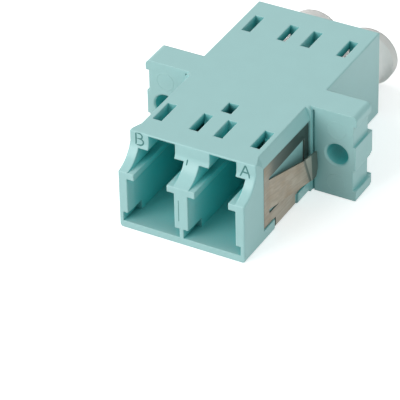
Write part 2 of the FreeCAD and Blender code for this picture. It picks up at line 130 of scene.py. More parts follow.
class PlasticSettings(bpy.types.PropertyGroup):
    """Finish of the moulded plastic."""

    colour: bpy.props.FloatVectorProperty(
        name="Colour", description="Colour of the plastic on a flat face",
        subtype="COLOR", size=3, min=0, max=1, default=(0.325, 0.545, 0.54))
    # Painted shade: the darker colour stands in for the shade inside the openings.
    recess_shade_colour: bpy.props.FloatVectorProperty(
        name="Recess colour", description="Colour that the plastic deepens to inside its openings",
        subtype="COLOR", size=3, min=0, max=1, default=(0.08, 0.64, 0.64))
    recess_reach: bpy.props.FloatProperty(
        name="Recess reach", description="How far away a wall still deepens the colour",
        unit="LENGTH", default=7.0 * MM)
    # Painted shade: the darkest colour stands in for the shade in pits and tight corners.
    crevice_shade_colour: bpy.props.FloatVectorProperty(
        name="Crevice colour", description="Colour in pits and tight corners",
        subtype="COLOR", size=3, min=0, max=1, default=(0.018, 0.195, 0.205))
    crevice_reach: bpy.props.FloatProperty(
        name="Crevice reach", description="How near the walls of a tight corner stand",
        unit="LENGTH", default=2.2 * MM)
    # Painted highlight: the paler colour stands in for light caught on the rounded outer edges.
    edge_highlight_colour: bpy.props.FloatVectorProperty(
        name="Edge colour", description="Colour where an outer edge thins the plastic",
        subtype="COLOR", size=3, min=0, max=1, default=(0.46, 0.76, 0.74))
    edge_highlight_strength: bpy.props.FloatProperty(
        name="Edge strength", description="How fully an outer edge takes its colour",
        subtype="FACTOR", default=0.6)
    edge_radius: bpy.props.FloatProperty(
        name="Edge radius", description="Rounding that every moulded edge appears to have",
        unit="LENGTH", default=0.16 * MM)
    roughness: bpy.props.FloatProperty(
        name="Roughness", description="Mean roughness of the moulded face", subtype="FACTOR",
        default=0.3)
    roughness_spread: bpy.props.FloatProperty(
        name="Roughness spread", description="How much the roughness differs between patches",
        subtype="FACTOR", default=0.1)
    grain_size: bpy.props.FloatProperty(
        name="Grain size", description="Size of the spark-eroded grain", unit="LENGTH",
        default=0.22 * MM)
    grain_depth: bpy.props.FloatProperty(
        name="Grain depth", description="Depth of the spark-eroded grain", unit="LENGTH",
        default=0.004 * MM)
    mottle_size: bpy.props.FloatProperty(
        name="Mottle size", description="Size of the soft patches in the colour", unit="LENGTH",
        default=2.5 * MM)
    mottle: bpy.props.FloatProperty(
        name="Mottle", description="How far the patches stray from the colour", subtype="FACTOR",
        default=0.035)
    crevice_dullness: bpy.props.FloatProperty(
        name="Crevice dullness", description="Roughness that pits and tight corners add",
        subtype="FACTOR", default=0.5)


class SteelSettings(bpy.types.PropertyGroup):
    """Finish of the panel clip."""

    colour: bpy.props.FloatVectorProperty(
        name="Colour", description="Colour of the rolled strip",
        subtype="COLOR", size=3, min=0, max=1, default=(0.36, 0.325, 0.265))
    tint: bpy.props.FloatVectorProperty(
        name="Tint", description="Colour of the browner patches",
        subtype="COLOR", size=3, min=0, max=1, default=(0.30, 0.245, 0.18))
    # Painted highlight: the brighter colour stands in for light caught by the bent tips.
    tip: bpy.props.FloatVectorProperty(
        name="Tip", description="Colour of the brighter tips of the tongues",
        subtype="COLOR", size=3, min=0, max=1, default=(0.62, 0.57, 0.50))
    # Painted shade: a dark colour stands in for the shade on the upper and rear bars.
    bar_shade: bpy.props.FloatVectorProperty(
        name="Film", description="Colour of the dark film along the upper and rear edges",
        subtype="COLOR", size=3, min=0, max=1, default=(0.13, 0.155, 0.14))
    line_shade: bpy.props.FloatProperty(
        name="Line shade", description="Brightness of a rolling line beside the strip",
        subtype="FACTOR", default=0.68)
    line_strength: bpy.props.FloatProperty(
        name="Line strength", description="How fully the rolling lines show", subtype="FACTOR",
        default=0.6)
    tip_highlight_strength: bpy.props.FloatProperty(
        name="Tip strength", description="How fully the tongues' tips take their colour",
        subtype="FACTOR", default=0.7)
    # Painted shade in the tongues' creases.
    crease_shade_strength: bpy.props.FloatProperty(
        name="Crease strength", description="How dark the tongues' creases are", subtype="FACTOR",
        default=0.75)
    # Painted shade on the tongues' last leaves.
    leaf_shade_strength: bpy.props.FloatProperty(
        name="Last leaf strength", description="How dark the tongues' last leaves are",
        subtype="FACTOR", default=0.8)
    # Painted shade where a wall shuts the strip in.
    border_shade_strength: bpy.props.FloatProperty(
        name="Border strength", description="How dark the strip is where a wall shuts it in",
        subtype="FACTOR", default=0.8)
    line_stretch: bpy.props.FloatProperty(
        name="Line stretch", description="How much longer than wide a rolling line is", default=30)
    line_spacing: bpy.props.FloatProperty(
        name="Line spacing", description="Spacing of the rolling lines", unit="LENGTH",
        default=0.2 * MM)
    line_depth: bpy.props.FloatProperty(
        name="Line depth", description="Depth of the rolling lines", unit="LENGTH",
        default=0.0015 * MM)
    patch_size: bpy.props.FloatProperty(
        name="Patch size", description="Size of the browner patches", unit="LENGTH", default=2.2 * MM)
    border_reach: bpy.props.FloatProperty(
        name="Border reach", description="How near a wall darkens the strip's border", unit="LENGTH",
        default=0.5 * MM)
    edge_radius: bpy.props.FloatProperty(
        name="Edge radius", description="Rounding that the sheared edges appear to have",
        unit="LENGTH", default=0.04 * MM)
    # Painted highlight: the paler colour stands in for light caught on the sheared edges.
    edge_highlight_colour: bpy.props.FloatVectorProperty(
        name="Edge colour", description="Colour of the sheared edges",
        subtype="COLOR", size=3, min=0, max=1, default=(0.6, 0.57, 0.52))
    edge_highlight_strength: bpy.props.FloatProperty(
        name="Edge strength", description="How fully a sheared edge takes its colour",
        subtype="FACTOR", default=0.4)
    roughness: bpy.props.FloatProperty(
        name="Roughness", description="Least roughness of the rolled face", subtype="FACTOR",
        default=0.32)
    roughness_spread: bpy.props.FloatProperty(
        name="Roughness spread", description="How much the browner patches add to the roughness",
        subtype="FACTOR", default=0.14)


class SleeveSettings(bpy.types.PropertyGroup):
    """Finish of the split sleeves."""

    colour: bpy.props.FloatVectorProperty(
        name="Colour", description="Colour of the ceramic",
        subtype="COLOR", size=3, min=0, max=1, default=(0.90, 0.89, 0.86))
    ring_colour: bpy.props.FloatVectorProperty(
        name="Ring colour", description="Colour of the faint rings from the grinding",
        subtype="COLOR", size=3, min=0, max=1, default=(0.84, 0.83, 0.79))
    ring_spacing: bpy.props.FloatProperty(
        name="Ring spacing", description="Spacing of the rings", unit="LENGTH", default=0.09 * MM)
    ring_stretch: bpy.props.FloatProperty(
        name="Ring stretch", description="How much longer than wide a mark in a ring is", default=40)
    ring_depth: bpy.props.FloatProperty(
        name="Ring depth", description="Depth of the rings", unit="LENGTH", default=0.0006 * MM)
    roughness: bpy.props.FloatProperty(
        name="Roughness", description="Least roughness of the ground face", subtype="FACTOR",
        default=0.16)
    roughness_spread: bpy.props.FloatProperty(
        name="Roughness spread", description="How much the rings add to the roughness",
        subtype="FACTOR", default=0.12)


class PlugSettings(bpy.types.PropertyGroup):
    """Shape and finish of the dust plugs."""

    barrel_radius: bpy.props.FloatProperty(
        name="Barrel radius", description="Radius of the barrel", unit="LENGTH", default=2.25 * MM)
    rim_width: bpy.props.FloatProperty(
        name="Rim width", description="Length of the straight rim", unit="LENGTH", default=1.05 * MM)
    flare_length: bpy.props.FloatProperty(
        name="Flare length", description="Length of the flare under the rim", unit="LENGTH",
        default=1.0 * MM)
    mouth_radius: bpy.props.FloatProperty(
        name="Mouth radius", description="Radius of the hollow head at the rim", unit="LENGTH",
        default=2.5 * MM)
    mouth_depth: bpy.props.FloatProperty(
        name="Mouth depth", description="Depth over which the mouth narrows", unit="LENGTH",
        default=3.0 * MM)
    bore_radius: bpy.props.FloatProperty(
        name="Bore radius", description="Radius of the hollow behind the mouth", unit="LENGTH",
        default=1.65 * MM)
    bore_depth: bpy.props.FloatProperty(
        name="Bore depth", description="Depth of the hollow from the rim", unit="LENGTH",
        default=8.9 * MM)
    tip_bore_radius: bpy.props.FloatProperty(
        name="Tip bore radius", description="Radius of the hollow over the sleeve holder",
        unit="LENGTH", default=1.6 * MM)
    tip_bore_depth: bpy.props.FloatProperty(
        name="Tip bore depth", description="Depth of the hollow over the sleeve holder",
        unit="LENGTH", default=6.2 * MM)
    edge_round: bpy.props.FloatProperty(
        name="Edge rounding", description="Radius of the plug's edges", unit="LENGTH",
        default=0.14 * MM)
    colour: bpy.props.FloatVectorProperty(
        name="Colour", description="Colour of the milky polythene",
        subtype="COLOR", size=3, min=0, max=1, default=(0.86, 0.86, 0.84))
    cloud_size: bpy.props.FloatProperty(
        name="Cloud size", description="Size of the faint clouds in the polythene", unit="LENGTH",
        default=1.6 * MM)
    skin_size: bpy.props.FloatProperty(
        name="Skin size", description="Size of the unevenness of the waxy skin", unit="LENGTH",
        default=0.3 * MM)
    skin_depth: bpy.props.FloatProperty(
        name="Skin depth", description="Depth of the unevenness of the waxy skin", unit="LENGTH",
        default=0.003 * MM)
    # Painted shade: the greyer colour stands in for the shade on the rim.
    rim_shade_colour: bpy.props.FloatVectorProperty(
        name="Rim colour", description="Colour of the thicker rim",
        subtype="COLOR", size=3, min=0, max=1, default=(0.70, 0.685, 0.665))
    rim_blend: bpy.props.FloatProperty(
        name="Rim blend", description="Half the width over which the rim's colour starts",
        unit="LENGTH", default=0.06 * MM)
    roughness: bpy.props.FloatProperty(
        name="Roughness", description="Least roughness of the waxy skin", subtype="FACTOR",
        default=0.3)
    roughness_spread: bpy.props.FloatProperty(
        name="Roughness spread", description="How much the clouds add to the roughness",
        subtype="FACTOR", default=0.12)
    clearness: bpy.props.FloatProperty(
        name="Clearness", description="Share of the light that goes straight through",
        subtype="FACTOR", default=0.45)
    scatter: bpy.props.FloatProperty(
        name="Scatter", description="Share of the light that spreads inside", subtype="FACTOR",
        default=0.35)
    scatter_reach: bpy.props.FloatProperty(
        name="Scatter reach", description="How far light spreads inside", unit="LENGTH",
        default=0.8 * MM)


class MarkSettings(bpy.types.PropertyGroup):
    """The port letters and the marks of the mould's ejector pins."""

    letter_height: bpy.props.FloatProperty(
        name="Letter height", description="Height of a port letter", unit="LENGTH",
        default=1.2 * MM)
    stroke_width: bpy.props.FloatProperty(
        name="Stroke width", description="Width of a letter's stroke", unit="LENGTH",
        default=0.15 * MM)
    line_width: bpy.props.FloatProperty(
        name="Line width", description="Width of a mould line", unit="LENGTH", default=0.07 * MM)
    stroke_height: bpy.props.FloatProperty(
        name="Stroke height", description="How far a stroke stands out of the face",
        unit="LENGTH", default=0.03 * MM)
    ejector_radius: bpy.props.FloatProperty(
        name="Ejector radius", description="Radius of an ejector pin", unit="LENGTH",
        default=0.9 * MM)
    ejector_width: bpy.props.FloatProperty(
        name="Ejector width", description="Width of the ring that an ejector pin leaves",
        unit="LENGTH", default=0.1 * MM)
    ejector_rise: bpy.props.FloatProperty(
        name="Ejector rise", description="How far the ring stands out of the face", unit="LENGTH",
        default=0.012 * MM)
    # Painted shade: the letters' dark colour stands in for the shadow in engraved strokes.
    colour: bpy.props.FloatVectorProperty(
        name="Colour", description="Colour of the port letters",
        subtype="COLOR", size=3, min=0, max=1, default=(0.06, 0.20, 0.19))
    roughness: bpy.props.FloatProperty(
        name="Roughness", description="Least roughness of the strokes", subtype="FACTOR",
        default=0.55)
    roughness_spread: bpy.props.FloatProperty(
        name="Roughness spread", description="How much the grain adds to the roughness",
        subtype="FACTOR", default=0.1)
    grain_shade: bpy.props.FloatProperty(
        name="Grain shade", description="How far the grain strays from the colour",
        subtype="FACTOR", default=0.15)
    grain_size: bpy.props.FloatProperty(
        name="Grain size", description="Size of the grain in the strokes", unit="LENGTH",
        default=0.2 * MM)
    grain_depth: bpy.props.FloatProperty(
        name="Grain depth", description="Depth of the grain in the strokes", unit="LENGTH",
        default=0.004 * MM)


class StageSettings(bpy.types.PropertyGroup):
    """Camera, lamps and floor."""

    azimuth: bpy.props.FloatProperty(
        name="Azimuth", description="Camera's turn round the adapter", subtype="ANGLE",
        default=math.radians(29.468))
    elevation: bpy.props.FloatProperty(
        name="Elevation", description="Camera's angle above the floor", subtype="ANGLE",
        default=math.radians(34.990))
    roll: bpy.props.FloatProperty(
        name="Roll", description="Camera's roll", subtype="ANGLE", default=math.radians(-1.341))
    distance: bpy.props.FloatProperty(
        name="Distance", description="From the camera to the point it looks at", unit="LENGTH",
        default=280.422 * MM)
    lens: bpy.props.FloatProperty(
        name="Lens", description="Focal length in millimetres on a 36 mm sensor", default=273.916)
    target: bpy.props.FloatVectorProperty(
        name="Target", description="The point that the camera looks at", subtype="TRANSLATION",
        size=3, default=(-1.567 * MM, -6.943 * MM, -4.092 * MM))
    sky: bpy.props.FloatProperty(
        name="Sky", description="Strength of the even light from all round", default=0.46)
    floor_colour: bpy.props.FloatVectorProperty(
        name="Floor colour", description="Colour of the floor under the lamps",
        subtype="COLOR", size=3, min=0, max=1, default=(0.8, 0.8, 0.8))
    floor_lift: bpy.props.FloatProperty(
        name="Floor lift", description="Glow that brings the lit floor up to white", default=0.55)
    floor_half: bpy.props.FloatProperty(
        name="Floor half width", description="Half the side of the floor", unit="LENGTH", default=1.5)
    floor_drop: bpy.props.FloatProperty(
        name="Floor drop", description="How far the floor lies under the adapter", unit="LENGTH",
        default=0.01 * MM)


# ---- Shader maths ----

class Value:
    """An output socket with arithmetic: each operator adds one Math node."""

    def __init__(self, paint, socket):
        self.paint = paint
        self.socket = socket

    def __add__(self, other):
        return self.paint.math("ADD", self, other)

    def __radd__(self, other):
        return self.paint.math("ADD", other, self)

    def __sub__(self, other):
        return self.paint.math("SUBTRACT", self, other)

    def __rsub__(self, other):
        return self.paint.math("SUBTRACT", other, self)

    def __mul__(self, other):
        return self.paint.math("MULTIPLY", self, other)

    def __rmul__(self, other):
        return self.paint.math("MULTIPLY", other, self)


class Paint:
    """A material's or the world's node tree, with Object coordinates in metres."""

    def __init__(self, owner):
        owner.use_nodes = True
        self.owner = owner
        self.tree = owner.node_tree
        self.tree.nodes.clear()

    def node(self, kind, settings=None, inputs=None, output=0):
        """One node: its settings first, then its inputs as values or links. Returns one output."""
        made = self.tree.nodes.new(kind)
        for name, value in (settings or {}).items():
            setattr(made, name, value)
        for name, value in (inputs or {}).items():
            socket = made.inputs[name]
            if isinstance(value, Value):
                self.tree.links.new(value.socket, socket)
            else:
                socket.default_value = value
        return Value(self, made.outputs[output]) if made.outputs else None

    def math(self, operation, first, second=0.0):
        """One Math node on two numbers, each a value or plain."""
        return self.node("ShaderNodeMath", {"operation": operation}, {0: first, 1: second})

    def greatest(self, first, *others):
        """The greatest of several numbers."""
        for other in others:
            first = self.math("MAXIMUM", first, other)
        return first

    def within(self, value, low, high):
        """0 below low, 1 above high, and a smooth step between."""
        return self.node("ShaderNodeMapRange", {"interpolation_type": "SMOOTHSTEP"},
                         {"Value": value, "From Min": low, "From Max": high})

    def place(self, scale=(1, 1, 1)):
        """Object coordinates, stretched along each axis."""
        here = self.node("ShaderNodeTexCoord", output="Object")
        return self.node("ShaderNodeMapping", None, {"Vector": here, "Scale": scale})

    def axes(self):
        """Object coordinates along X, Y and Z, each as a value."""
        here = self.node("ShaderNodeTexCoord", output="Object")
        return [self.node("ShaderNodeSeparateXYZ", None, {"Vector": here}, output=axis)
                for axis in "XYZ"]

    def noise(self, size, detail=2.0, stretch=(1, 1, 1)):
        """Noise from 0 to 1 whose patches are about one size across, drawn out by stretch."""
        where = self.place(tuple(1 / s for s in stretch))
        return self.node("ShaderNodeTexNoise", {"noise_dimensions": "3D"},
                         {"Vector": where, "Scale": 1 / size, "Detail": detail, "Roughness": 0.55})

    def blend(self, factor, first, second):
        """A colour between two colours."""
        sockets = {0: factor, 6: rgba(first), 7: rgba(second)}
        return self.node("ShaderNodeMix", {"data_type": "RGBA"}, sockets, output=2)

    def rounded(self, radius, samples=6):
        """The normal that the surface would have with its edges rounded."""
        return self.node("ShaderNodeBevel", {"samples": samples}, {"Radius": radius})

    def edges(self, normal):
        """How far a rounded normal turns away from the face, 0 on a flat face."""
        flat = self.node("ShaderNodeNewGeometry", output="Normal")
        straight = self.node("ShaderNodeVectorMath", {"operation": "DOT_PRODUCT"},
                             {0: normal, 1: flat}, output="Value")
        return 1 - straight

    def openness(self, reach, own=True):
        """How open a point is within a reach: 1 where no wall stands near.

        With own, only the walls of the point's own piece count.
        """
        return self.node("ShaderNodeAmbientOcclusion", {"samples": 8, "only_local": own},
                         {"Distance": reach}, output="AO")

    def seen(self):
        """1 on rays that show a thing, plain, mirrored or through a clear body, and 0 on others."""
        return self.greatest(*[self.node("ShaderNodeLightPath", output=ray)
                               for ray in ("Is Camera Ray", "Is Glossy Ray", "Is Transmission Ray")])

    def bump(self, height, depth, normal=None):
        """The normal of a surface with a height from 0 to 1 times a depth, over a given normal."""
        inputs = {"Height": height, "Distance": depth}
        if normal:
            inputs["Normal"] = normal
        return self.node("ShaderNodeBump", None, inputs)

    def finish(self, shader):
        """Ends the material at its shader, and returns it."""
        self.node("ShaderNodeOutputMaterial", None, {"Surface": shader})
        return self.owner


def rgba(colour):
    """A colour with its alpha, or the value that was linked in its place."""
    if isinstance(colour, Value):
        return colour
    return tuple(colour)[:3] + (1.0,)


# ---- Materials ----

def moulded_plastic(settings):
    """Matt moulded plastic: even colour with faint patches and fine grain, and a painted highlight that
    pales its outer edges.

    Painted shade deepens its colour inside its openings, and once more in pits and tight corners, which
    are duller.
    """
    paint = Paint(bpy.data.materials.new("moulded_plastic"))
    soft = paint.rounded(settings.edge_radius)
    near = paint.openness(settings.crevice_reach)
    wide = paint.openness(settings.recess_reach)
    outer = paint.within(near, *OUTER_HIGHLIGHT_STEP)
    # Painted highlight: outer edges take a paler colour where the rounded normal turns.
    edge = paint.within(paint.edges(soft), *PLASTIC_HIGHLIGHT_STEP) * outer
    mottle = paint.noise(settings.mottle_size, detail=3)
    colour = Vector(settings.colour)
    patches = paint.blend(mottle, colour * (1 - settings.mottle), colour * (1 + settings.mottle))
    # Painted shade: the colour darkens by how shut in a point is, in openings and again in crevices.
    recess = paint.blend(paint.within(near, *CREVICE_SHADE_STEP), settings.crevice_shade_colour,
                         settings.recess_shade_colour)
    face = paint.blend(paint.within(wide, *RECESS_SHADE_STEP), recess, patches)
    base = paint.blend(edge * settings.edge_highlight_strength, face, settings.edge_highlight_colour)
    dull = (1 - paint.within(near, *DULL_STEP)) * settings.crevice_dullness
    grain = paint.noise(settings.grain_size, detail=2)
    shader = paint.node("ShaderNodeBsdfPrincipled", None, {
        "Base Color": base,
        "Roughness": settings.roughness + (mottle - 0.5) * settings.roughness_spread + dull,
        "IOR": 1.5,
        "Specular IOR Level": 0.36,
        "Normal": paint.bump(grain, settings.grain_depth, soft),
    })
    return paint.finish(shader)


def rolled_steel(settings):
    """Spring strip: rolling lines, brown heat tint and creased tongues, with painted shade on its bars,
    in the creases, on the last leaves and where a wall shuts it in, and painted highlights on its edges
    and tips.

    A tongue's crease runs through the point (CREASE_Y, CREASE_Z) at a slant, so the distance from it is
    (y - CREASE_Y, z - CREASE_Z) . ACROSS_CREASE. Beyond it the tongue's tip gets a painted highlight.
    """
    paint = Paint(bpy.data.materials.new("rolled_steel"))
    across, back, up = paint.axes()
    tongue = paint.within(paint.math("ABSOLUTE", across), *TONGUE_X)
    # Painted shade on the upper and rear bars, away from the tongues.
    upper_bar = paint.within(up, *UPPER_BAR_Z) * paint.within(back, *UPPER_BAR_Y)
    bars = paint.greatest(upper_bar, paint.within(back, *REAR_BAR_Y)) * (1 - tongue)
    from_crease = ACROSS_CREASE[0] * (back - CREASE_Y) + ACROSS_CREASE[1] * (up - CREASE_Z)
    # Painted shade along the crease.
    crease = 1 - paint.within(paint.math("ABSOLUTE", from_crease), *CREASE_SHADE_STEP)
    # Painted shade where a wall stands near the strip.
    shut = 1 - paint.within(paint.openness(settings.border_reach, own=False), *STRIP_BORDER_SHADE_STEP)
    last_leaf = paint.within(back, *LAST_LEAF_Y) * tongue
    painted_leaf_shade = last_leaf * settings.leaf_shade_strength
    # All the painted shade, which draws the colour towards the dark bar colour.
    dark = paint.greatest(bars, crease * tongue * settings.crease_shade_strength,
                          (shut + painted_leaf_shade) * settings.border_shade_strength)
    # Painted highlight on the tip beyond the crease.
    tip = paint.within(from_crease, *TIP_HIGHLIGHT_STEP) * tongue
    lines = paint.noise(settings.line_spacing, detail=3, stretch=(1, settings.line_stretch, 1))
    patches = paint.noise(settings.patch_size, detail=3)
    soft = paint.rounded(settings.edge_radius)
    # Painted highlight on the sheared edges, where the rounded normal turns.
    edge = paint.within(paint.edges(soft), *STRIP_HIGHLIGHT_STEP)
    tinted = paint.blend(paint.within(patches, *PATCH_STEP), settings.colour, settings.tint)
    line_colour = Vector(settings.colour) * settings.line_shade
    lined = paint.blend(paint.within(lines, *LINE_STEP) * settings.line_strength, tinted, line_colour)
    tip_highlighted = paint.blend(tip * settings.tip_highlight_strength, lined, settings.tip)
    base = paint.blend(dark, tip_highlighted, settings.bar_shade)
    shader = paint.node("ShaderNodeBsdfPrincipled", None, {
        "Base Color": paint.blend(edge * settings.edge_highlight_strength, base, settings.edge_highlight_colour),
        "Metallic": 1.0,
        "Roughness": settings.roughness + patches * settings.roughness_spread,
        "Normal": paint.bump(lines, settings.line_depth, soft),
    })
    return paint.finish(shader)


def ground_ceramic(settings):
    """White zirconia: glossy, with faint rings from the grinding."""
    paint = Paint(bpy.data.materials.new("ground_ceramic"))
    stretch = (settings.ring_stretch, 1, settings.ring_stretch)
    rings = paint.noise(settings.ring_spacing, detail=2, stretch=stretch)
    shader = paint.node("ShaderNodeBsdfPrincipled", None, {
        "Base Color": paint.blend(rings, settings.ring_colour, settings.colour),
        "Roughness": settings.roughness + rings * settings.roughness_spread,
        "IOR": 2.1,
        "Normal": paint.bump(rings, settings.ring_depth),
    })
    return paint.finish(shader)


def milky_polythene(settings, rim):
    """Soft milky plastic that lets light through, with faint clouds, a waxy skin and painted shade on
    its rim.

    The rim starts at a place along Y. The plug that stands further out has a little more of it.
    """
    paint = Paint(bpy.data.materials.new("milky_polythene"))
    clouds = paint.noise(settings.cloud_size, detail=3)
    skin = paint.noise(settings.skin_size, detail=2)
    back = paint.axes()[1]
    # Painted shade on the rim, from a place along Y.
    painted_rim_shade = paint.within(back, rim - settings.rim_blend, rim + settings.rim_blend)
    colour = Vector(settings.colour)
    dimmest, brightest = 0.96, 1.03
    milk = paint.blend(clouds, colour * dimmest, colour * brightest)
    shader = paint.node("ShaderNodeBsdfPrincipled", None, {
        "Base Color": paint.blend(painted_rim_shade, milk, settings.rim_shade_colour),
        "Roughness": settings.roughness + clouds * settings.roughness_spread,
        "IOR": 1.45,
        "Transmission Weight": settings.clearness,
        "Subsurface Weight": settings.scatter,
        "Subsurface Radius": (1.0, 1.0, 1.0),
        "Subsurface Scale": settings.scatter_reach,
        "Normal": paint.bump(skin, settings.skin_depth),
    })
    return paint.finish(shader)


def groove_shade_plastic(settings):
    """Painted shade: the dark colour of the raised strokes stands in for the shadow inside engraved
    strokes.
    """
    paint = Paint(bpy.data.materials.new("groove_shade_plastic"))
    grain = paint.noise(settings.grain_size, detail=2)
    colour = Vector(settings.colour)
    low, high = 1 - settings.grain_shade, 1 + settings.grain_shade
    shader = paint.node("ShaderNodeBsdfPrincipled", None, {
        "Base Color": paint.blend(grain, colour * low, colour * high),
        "Roughness": settings.roughness + grain * settings.roughness_spread,
        "Normal": paint.bump(grain, settings.grain_depth),
    })
    return paint.finish(shader)


def dress(node, material):
    """Gives a node of the model one material in all its slots."""
    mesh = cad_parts[node].data
    if not mesh.materials:
        mesh.materials.append(material)
    for i in range(len(mesh.materials)):
        mesh.materials[i] = material


# ---- Surfaces ----

def grid_faces(rows, columns, closed_rows=False, closed_columns=False):
    """Quads over a grid of points numbered row by row, joined end to end where it is closed."""
    r = np.arange(rows if closed_rows else rows - 1)
    c = np.arange(columns if closed_columns else columns - 1)
    r, c = np.meshgrid(r, c, indexing="ij")
    r2 = (r + 1) % rows
    c2 = (c + 1) % columns
    quads = np.stack([r * columns + c, r * columns + c2, r2 * columns + c2, r2 * columns + c], axis=-1)
    return quads.reshape(-1, 4)


def make_piece(name, points, faces, material, smooth=True):
    """A mesh object at the origin from an array of points and an array of quads."""
    mesh = bpy.data.meshes.new(name)
    mesh.from_pydata(points.reshape(-1, 3).tolist(), [], faces.tolist())
    mesh.polygons.foreach_set("use_smooth", np.full(len(mesh.polygons), smooth))
    mesh.materials.append(material)
    mesh.validate()
    piece = bpy.data.objects.new(name, mesh)
    bpy.context.scene.collection.objects.link(piece)
    return piece


def weld(piece, distance):
    """Merges the points that a closed seam or a pole repeats, and turns the faces outwards."""
    work = bmesh.new()
    work.from_mesh(piece.data)
    bmesh.ops.remove_doubles(work, verts=work.verts, dist=distance)
    bmesh.ops.recalc_face_normals(work, faces=work.faces)
    work.to_mesh(piece.data)
    work.free()


def turned(profile, centre, segments=96):
    """A surface of revolution about an axis along Y.

    The point at profile step u and angle v is
    centre + radius(u) (cos v, 0, sin v) + along(u) (0, 1, 0).
    """
    angle = np.linspace(0, 2 * np.pi, segments, endpoint=False)
    radius = profile[:, 0][:, None]
    along = np.repeat(profile[:, 1][:, None], segments, axis=1)
    x = centre[0] + radius * np.cos(angle)
    z = centre[1] + radius * np.sin(angle)
    return np.stack([x, along, z], axis=-1)


def rounded_profile(corners, radii, steps=5):
    """A profile through the corners of a closed outline, each corner turned by a short round curve.

    Each corner P with neighbours A and B becomes the curve (1-t)^2 a + 2t(1-t) P + t^2 b, where a and b
    lie on the two sides of P, one radius from it, but never past 0.45 of the shorter side.
    """
    corners = np.array(corners, float)
    before = np.roll(corners, 1, axis=0) - corners
    after = np.roll(corners, -1, axis=0) - corners
    reach_before = np.linalg.norm(before, axis=1)
    reach_after = np.linalg.norm(after, axis=1)
    radii = np.minimum(radii, 0.45 * np.minimum(reach_before, reach_after))
    a = corners + before / reach_before[:, None] * radii[:, None]
    b = corners + after / reach_after[:, None] * radii[:, None]
    t = np.linspace(0, 1, steps)[None, :, None]
    curve = (1 - t) ** 2 * a[:, None] + 2 * t * (1 - t) * corners[:, None] + t ** 2 * b[:, None]
    return curve.reshape(-1, 2)


# ---- Pieces ----

class ADAPTER_OT_dress_plastic(bpy.types.Operator):
    """Gives the housing and the sleeve retainers their moulded plastic."""

    bl_idname = "adapter.dress_plastic"
    bl_label = "Dress the Plastic"

    def execute(self, context):
        material = moulded_plastic(context.scene.adapter_plastic)
        for node in ("housing", "sleeve_retainer_a", "sleeve_retainer_b"):
            dress(node, material)
        return {"FINISHED"}


class ADAPTER_OT_dress_clip(bpy.types.Operator):
    """Gives the panel clip its rolled steel."""

    bl_idname = "adapter.dress_clip"
    bl_label = "Dress the Clip"

    def execute(self, context):
        dress("panel_clip", rolled_steel(context.scene.adapter_steel))
        return {"FINISHED"}


class ADAPTER_OT_dress_sleeves(bpy.types.Operator):
    """Gives the split sleeves their ground ceramic."""

    bl_idname = "adapter.dress_sleeves"
    bl_label = "Dress the Sleeves"

    def execute(self, context):
        material = ground_ceramic(context.scene.adapter_sleeve)
        for node in ("split_sleeve_a", "split_sleeve_b"):
            dress(node, material)
        return {"FINISHED"}


class ADAPTER_OT_turn_plugs(bpy.types.Operator):
    """Turns the two dust plugs as smooth, closed, hollow shapes."""

    bl_idname = "adapter.turn_plugs"
    bl_label = "Turn the Plugs"

    def execute(self, context):
        settings = context.scene.adapter_plug
        material = milky_polythene(settings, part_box("dust_plug_a")[1].y - settings.rim_width)
        for letter in "ab":
            node = "dust_plug_" + letter
            low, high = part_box(node)
            profile = self.profile(settings, low.y, high.y, (high.x - low.x) / 2)
            centre = ((low.x + high.x) / 2, (low.z + high.z) / 2)
            points = turned(profile, centre)
            faces = grid_faces(*points.shape[:2], closed_rows=True, closed_columns=True)
            piece = make_piece("plug_body_" + letter, points, faces, material)
            weld(piece, PLUG_WELD)
            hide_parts(node)
            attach(piece, "plug_" + letter)
        return {"FINISHED"}

    @staticmethod
    def profile(s, tip, head, head_radius):
        """Radius and place along Y, round the wall from the tip's inner edge and back to it.

        At a part t of its length the flare has the radius barrel + (head - barrel) (1 - cos(pi t / 2)),
        which makes it hollow. The partition's two faces meet the axis. Each corner is given with its
        rounding, and points that fall together are left out.
        """
        rim = head - s.rim_width
        flare = rim - s.flare_length
        partition = tip + s.tip_bore_depth
        bore_end = head - s.bore_depth
        soft, crisp, none = s.edge_round, s.edge_round * 0.5, 0.0
        t = np.linspace(0, 1, FLARE_STEPS)[1:-1]
        flare_radius = s.barrel_radius + (head_radius - s.barrel_radius) * (1 - np.cos(np.pi * t / 2))
        outline = [
            (s.tip_bore_radius, tip, crisp),
            (s.barrel_radius, tip, soft),
            (s.barrel_radius, flare, none),
            *zip(flare_radius, flare + t * s.flare_length, np.full(len(t), none)),
            (head_radius, rim, crisp),
            (head_radius, head, soft),
            (s.mouth_radius, head, soft),
            (s.bore_radius, head - s.mouth_depth, soft),
            (s.bore_radius, bore_end, soft),
            (0.0, bore_end, none),
            (0.0, partition, none),
            (s.tip_bore_radius, partition, soft),
        ]
        outline = np.array(outline)
        profile = rounded_profile(outline[:, :2], outline[:, 2])
        step = np.linalg.norm(profile - np.roll(profile, 1, axis=0), axis=1)
        return profile[step > SAME_POINT]


